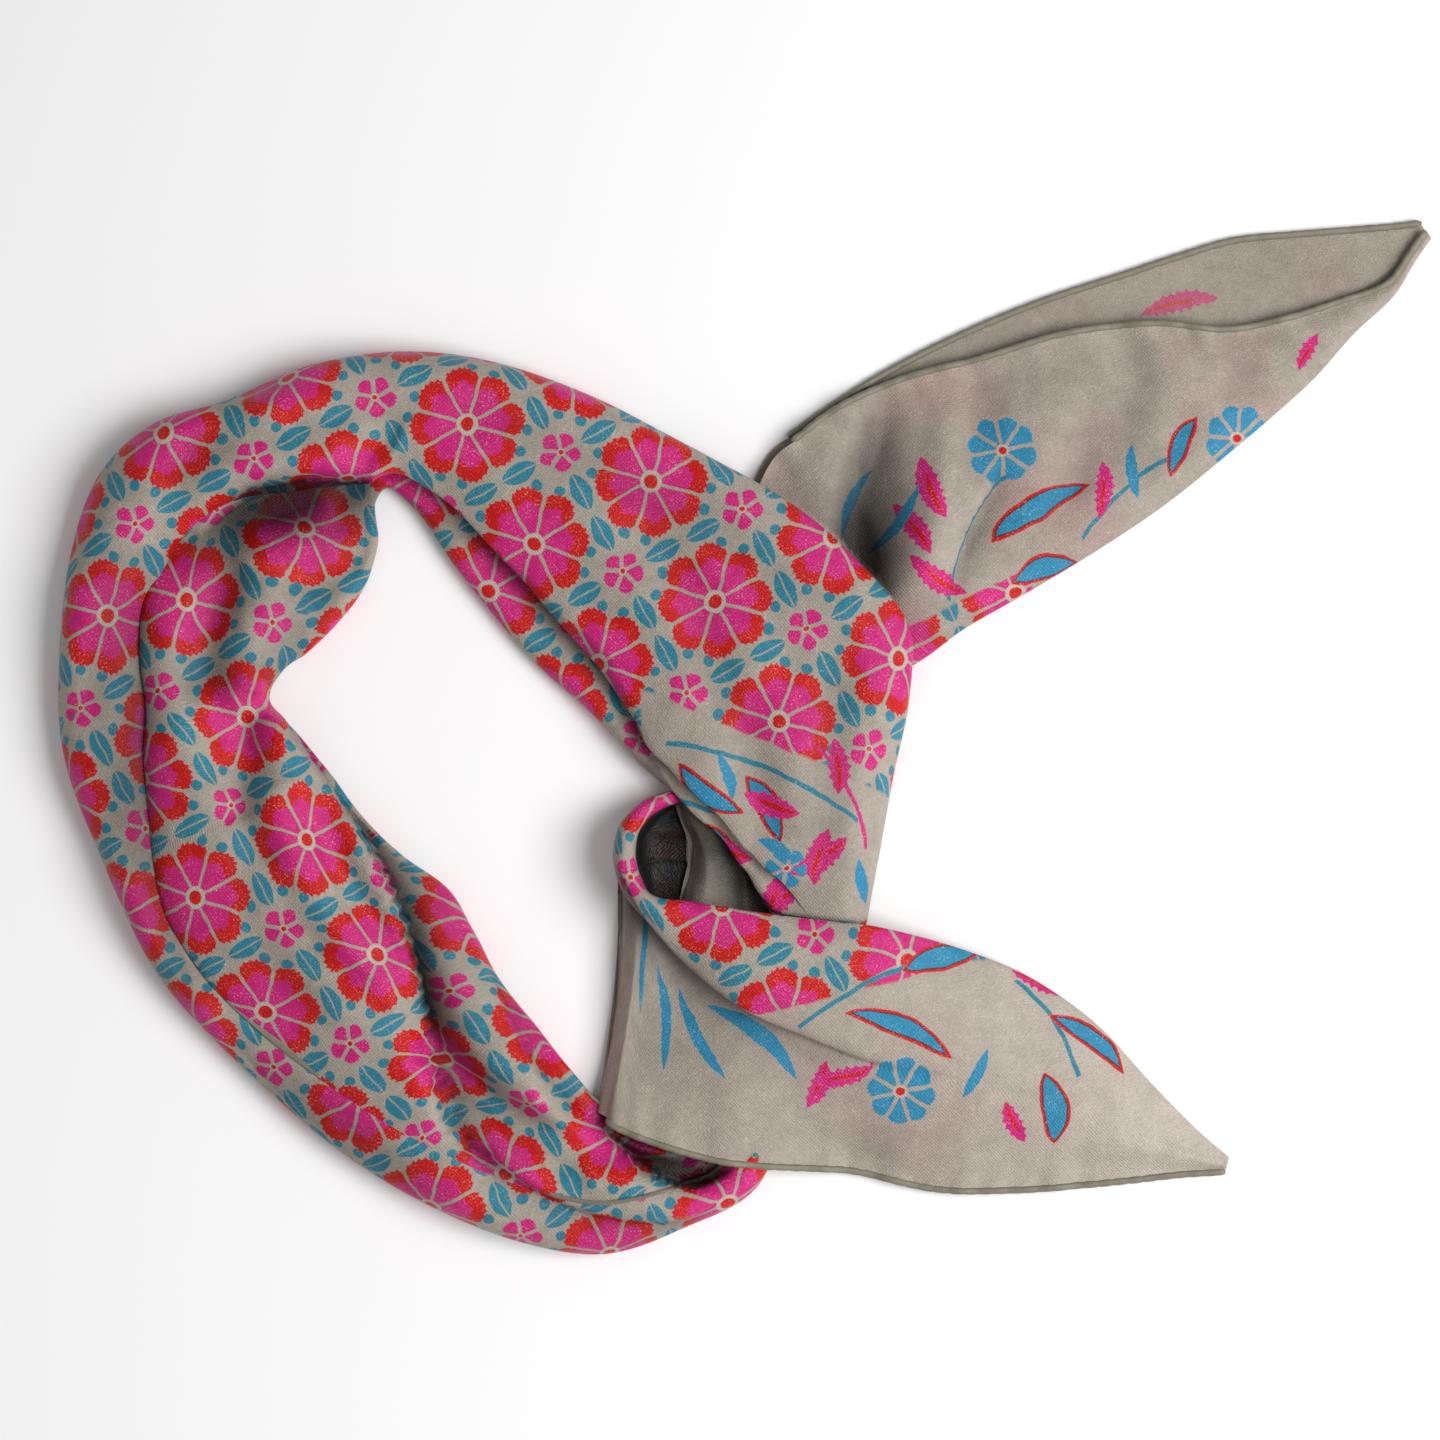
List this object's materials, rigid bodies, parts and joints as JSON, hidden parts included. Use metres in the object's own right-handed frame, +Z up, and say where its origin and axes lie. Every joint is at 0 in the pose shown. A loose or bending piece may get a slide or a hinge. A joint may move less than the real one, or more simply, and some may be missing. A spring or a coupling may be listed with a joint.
{
  "type": "silk scarf",
  "caption": "Square printed silk scarf folded into a soft band and laid in a ring, its two hemmed corners crossed and wrapped once at the side.",
  "frame": {"origin": "middle of the bottom of the whole scarf's box, on the surface that it lies on", "axes": "+X from the ring towards the two corners, +Y across it towards the upper corner, +Z up from the surface"},
  "size_m": [0.4192, 0.3166, 0.024],
  "materials": {
    "printed_silk": "printed silk twill, soft sheen",
    "silk_reverse": "plain reverse of the twill, soft sheen",
    "hem": "hand-rolled silk edge"
  },
  "bodies": {
    "root": {"neck_loop": "printed_silk", "upper_tail": "printed_silk", "knot_wrap": "silk_reverse", "lower_tail": "printed_silk", "upper_tail_back_hem": "hem", "upper_tail_front_hem": "hem", "lower_tail_hem": "hem"}
  },
  "joints": []
}
